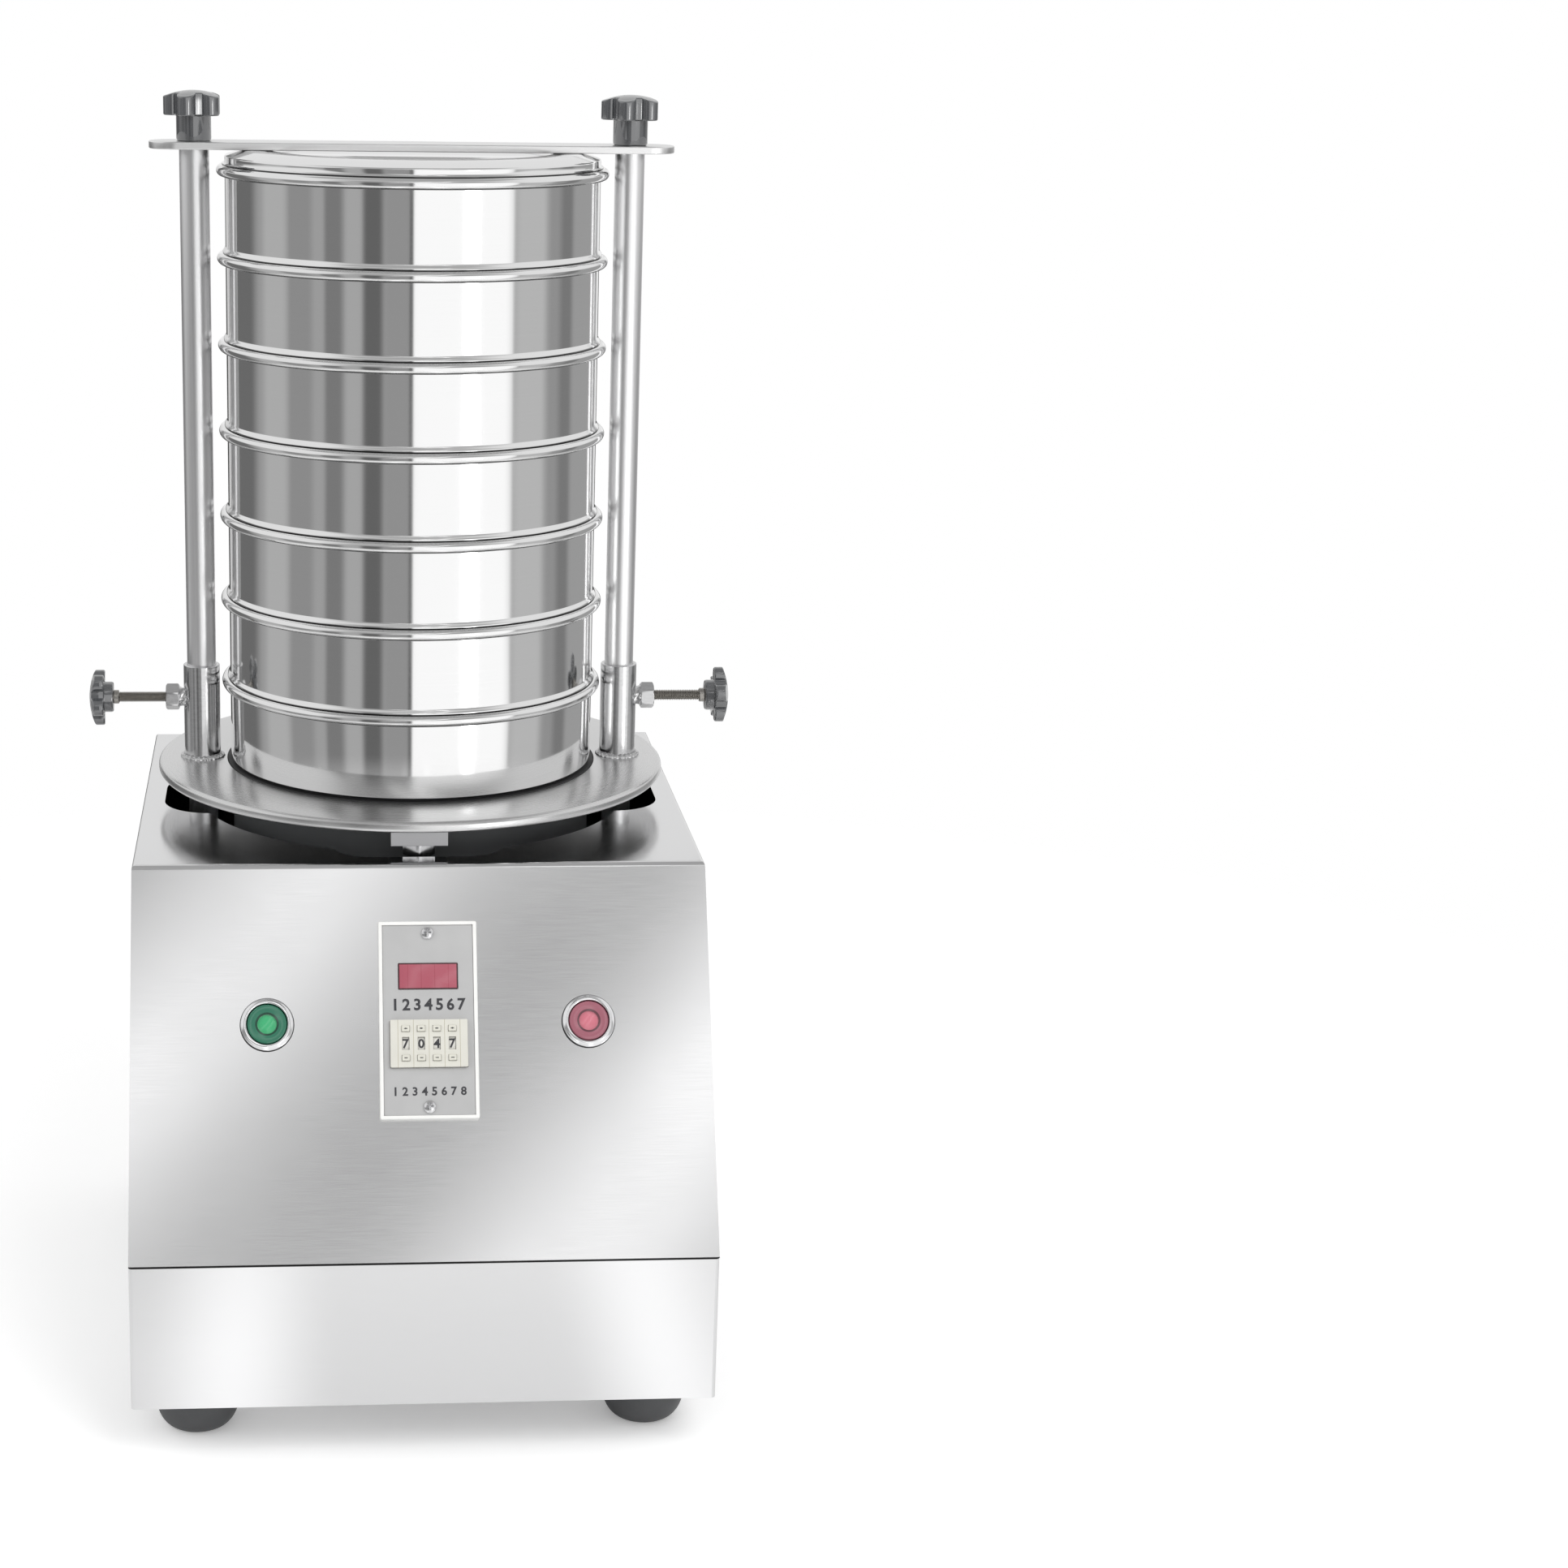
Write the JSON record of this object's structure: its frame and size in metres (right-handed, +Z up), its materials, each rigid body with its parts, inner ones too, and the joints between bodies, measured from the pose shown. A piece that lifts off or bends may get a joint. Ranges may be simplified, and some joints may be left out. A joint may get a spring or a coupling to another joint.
{
  "type": "sieve shaker",
  "caption": "Bench sieve shaker: a sheet steel casing with a sloping control panel carries a sprung round table, on which a clamp frame holds a stack of round test sieves.",
  "frame": {"origin": "on the floor under the feet, at the middle of the machine's width and depth", "axes": "+Z up, -Y out of the control panel, +X to the right of someone facing the panel"},
  "size_m": [0.3588, 0.385, 0.6795],
  "materials": {
    "casing_sheet": "satin brushed stainless sheet",
    "satin_plate": "satin turned stainless plate",
    "mirror_steel": "mirror polished stainless sheet",
    "polished_rod": "polished round bar",
    "bright_screws": "bright plated fasteners",
    "black_rubber": "matt rubber",
    "foot_rubber": "grey moulded rubber",
    "knob_plastic": "dark grey moulded plastic",
    "dark_screw": "oiled threaded steel",
    "brass": "turned brass",
    "timer_white": "moulded plastic",
    "timer_grey": "printed plastic sheet",
    "display_red": "red filter window",
    "cream_plastic": "moulded plastic",
    "button_green": "tinted plastic",
    "button_red": "tinted plastic",
    "black_plastic": "moulded plastic",
    "beam_paint": "grey primer",
    "cage_paint": "dark grey enamel",
    "motor_paint": "blue grey enamel",
    "motor_castings": "die cast",
    "spring_steel": "coiled spring wire",
    "shaft_steel": "ground steel",
    "cast_weight": "cast iron",
    "capacitor_can": "drawn can",
    "wire_cloth": "woven wire and punched plate"
  },
  "bodies": {
    "casing": {"base_tray": "casing_sheet", "upper_cover": "casing_sheet", "case_screws": "bright_screws", "rubber_feet": "foot_rubber", "foot_bolts": "bright_screws", "spring_beams": "beam_paint", "coil_springs": "spring_steel", "timer_housing": "timer_white", "timer_faceplate": "timer_grey", "timer_window": "display_red", "timer_wheel_block": "cream_plastic", "button_bezels": "bright_screws", "switch_bodies": "black_plastic", "power_inlet": "black_plastic", "run_capacitor": "capacitor_can"},
    "table": {"support_plate": "satin_plate", "post_sleeves": "polished_rod", "pan_mat": "black_rubber", "receiving_pan": "mirror_steel", "sieve_1": "mirror_steel", "sieve_2": "mirror_steel", "sieve_3": "mirror_steel", "sieve_4": "mirror_steel", "sieve_5": "mirror_steel", "sieve_6": "mirror_steel", "sieve_cloths": "wire_cloth", "stack_lid": "mirror_steel", "motor_cage": "cage_paint", "motor_housing": "motor_castings", "motor_end_bells": "motor_paint", "motor_bearings": "shaft_steel", "cage_fixings": "bright_screws"},
    "rotor": {"motor_shaft": "shaft_steel", "eccentric_weights": "cast_weight"},
    "clamp_frame": {"clamp_posts": "polished_rod", "crossbar": "satin_plate"},
    "side_slider_left": {"side_collar_left": "dark_screw"},
    "side_clamp_left": {"side_screw_left": "dark_screw", "side_knob_left": "knob_plastic"},
    "side_slider_right": {"side_collar_right": "dark_screw"},
    "side_clamp_right": {"side_screw_right": "dark_screw", "side_knob_right": "knob_plastic"},
    "knob_nut_left": {"knob_insert_left": "brass"},
    "top_knob_left": {"top_knob_left": "knob_plastic"},
    "knob_nut_right": {"knob_insert_right": "brass"},
    "top_knob_right": {"top_knob_right": "knob_plastic"},
    "start_button": {"start_button": "button_green"},
    "stop_button": {"stop_button": "button_red"},
    "digit_wheel_1": {"digit_wheel_1": "timer_white"},
    "plus_tab_1": {"plus_tab_1": "cream_plastic"},
    "minus_tab_1": {"minus_tab_1": "cream_plastic"},
    "digit_wheel_2": {"digit_wheel_2": "timer_white"},
    "plus_tab_2": {"plus_tab_2": "cream_plastic"},
    "minus_tab_2": {"minus_tab_2": "cream_plastic"},
    "digit_wheel_3": {"digit_wheel_3": "timer_white"},
    "plus_tab_3": {"plus_tab_3": "cream_plastic"},
    "minus_tab_3": {"minus_tab_3": "cream_plastic"},
    "digit_wheel_4": {"digit_wheel_4": "timer_white"},
    "plus_tab_4": {"plus_tab_4": "cream_plastic"},
    "minus_tab_4": {"minus_tab_4": "cream_plastic"}
  },
  "joints": [
    {"name": "table_shake", "type": "slide", "parent": "casing", "child": "table", "axis": [0, 0, 1], "range_m": [-0.0025, 0.0025], "stiffness_N_per_m": 40000, "springref_m": 0.00577, "deforming": ["coil_springs"]},
    {"name": "motor_spin", "type": "hinge", "parent": "table", "child": "rotor", "pos_m": [0, 0.0475, 0.23], "axis": [0, 0, 1], "continuous": true},
    {"name": "frame_lift", "type": "slide", "parent": "table", "child": "clamp_frame", "axis": [0, 0, 1], "range_m": [0, 0.1]},
    {"name": "side_left_travel", "type": "slide", "parent": "table", "child": "side_slider_left", "axis": [-1, 0, 0], "range_m": [0, 0.01]},
    {"name": "side_left_turn", "type": "hinge", "parent": "side_slider_left", "child": "side_clamp_left", "pos_m": [-0.17, 0.0475, 0.3482], "axis": [-1, 0, 0], "range_deg": [0, 3600]},
    {"name": "side_right_travel", "type": "slide", "parent": "table", "child": "side_slider_right", "axis": [1, 0, 0], "range_m": [0, 0.01]},
    {"name": "side_right_turn", "type": "hinge", "parent": "side_slider_right", "child": "side_clamp_right", "pos_m": [0.17, 0.0475, 0.3482], "axis": [1, 0, 0], "range_deg": [0, 3600]},
    {"name": "top_left_travel", "type": "slide", "parent": "clamp_frame", "child": "knob_nut_left", "axis": [0, 0, 1], "range_m": [0, 0.01]},
    {"name": "top_left_turn", "type": "hinge", "parent": "knob_nut_left", "child": "top_knob_left", "pos_m": [-0.117, 0.0475, 0.66], "axis": [0, 0, 1], "range_deg": [0, 2880]},
    {"name": "top_right_travel", "type": "slide", "parent": "clamp_frame", "child": "knob_nut_right", "axis": [0, 0, 1], "range_m": [0, 0.01]},
    {"name": "top_right_turn", "type": "hinge", "parent": "knob_nut_right", "child": "top_knob_right", "pos_m": [0.117, 0.0475, 0.66], "axis": [0, 0, 1], "range_deg": [0, 2880]},
    {"name": "start_press", "type": "slide", "parent": "casing", "child": "start_button", "axis": [0, 0.8759, -0.4826], "range_m": [0, 0.003], "stiffness_N_per_m": 700, "springref_m": -0.002},
    {"name": "stop_press", "type": "slide", "parent": "casing", "child": "stop_button", "axis": [0, 0.8759, -0.4826], "range_m": [0, 0.003], "stiffness_N_per_m": 700, "springref_m": -0.002},
    {"name": "digit_1_turn", "type": "hinge", "parent": "casing", "child": "digit_wheel_1", "pos_m": [-0.009, -0.13527, 0.2058], "axis": [1, 0, 0], "continuous": true},
    {"name": "plus_1_press", "type": "slide", "parent": "casing", "child": "plus_tab_1", "axis": [0, 0.8759, -0.4826], "range_m": [0, 0.0015], "stiffness_N_per_m": 200, "springref_m": -0.001},
    {"name": "minus_1_press", "type": "slide", "parent": "casing", "child": "minus_tab_1", "axis": [0, 0.8759, -0.4826], "range_m": [0, 0.0015], "stiffness_N_per_m": 200, "springref_m": -0.001},
    {"name": "digit_2_turn", "type": "hinge", "parent": "casing", "child": "digit_wheel_2", "pos_m": [-0.001, -0.13527, 0.2058], "axis": [1, 0, 0], "continuous": true},
    {"name": "plus_2_press", "type": "slide", "parent": "casing", "child": "plus_tab_2", "axis": [0, 0.8759, -0.4826], "range_m": [0, 0.0015], "stiffness_N_per_m": 200, "springref_m": -0.001},
    {"name": "minus_2_press", "type": "slide", "parent": "casing", "child": "minus_tab_2", "axis": [0, 0.8759, -0.4826], "range_m": [0, 0.0015], "stiffness_N_per_m": 200, "springref_m": -0.001},
    {"name": "digit_3_turn", "type": "hinge", "parent": "casing", "child": "digit_wheel_3", "pos_m": [0.007, -0.13527, 0.2058], "axis": [1, 0, 0], "continuous": true},
    {"name": "plus_3_press", "type": "slide", "parent": "casing", "child": "plus_tab_3", "axis": [0, 0.8759, -0.4826], "range_m": [0, 0.0015], "stiffness_N_per_m": 200, "springref_m": -0.001},
    {"name": "minus_3_press", "type": "slide", "parent": "casing", "child": "minus_tab_3", "axis": [0, 0.8759, -0.4826], "range_m": [0, 0.0015], "stiffness_N_per_m": 200, "springref_m": -0.001},
    {"name": "digit_4_turn", "type": "hinge", "parent": "casing", "child": "digit_wheel_4", "pos_m": [0.015, -0.13527, 0.2058], "axis": [1, 0, 0], "continuous": true},
    {"name": "plus_4_press", "type": "slide", "parent": "casing", "child": "plus_tab_4", "axis": [0, 0.8759, -0.4826], "range_m": [0, 0.0015], "stiffness_N_per_m": 200, "springref_m": -0.001},
    {"name": "minus_4_press", "type": "slide", "parent": "casing", "child": "minus_tab_4", "axis": [0, 0.8759, -0.4826], "range_m": [0, 0.0015], "stiffness_N_per_m": 200, "springref_m": -0.001}
  ],
  "couplings": [
    {"joint": "side_left_turn", "follows": "side_left_travel", "rad_per_m": 6283.2},
    {"joint": "side_right_turn", "follows": "side_right_travel", "rad_per_m": 6283.2},
    {"joint": "top_left_turn", "follows": "top_left_travel", "rad_per_m": 5026.5},
    {"joint": "top_right_turn", "follows": "top_right_travel", "rad_per_m": 5026.5}
  ]
}
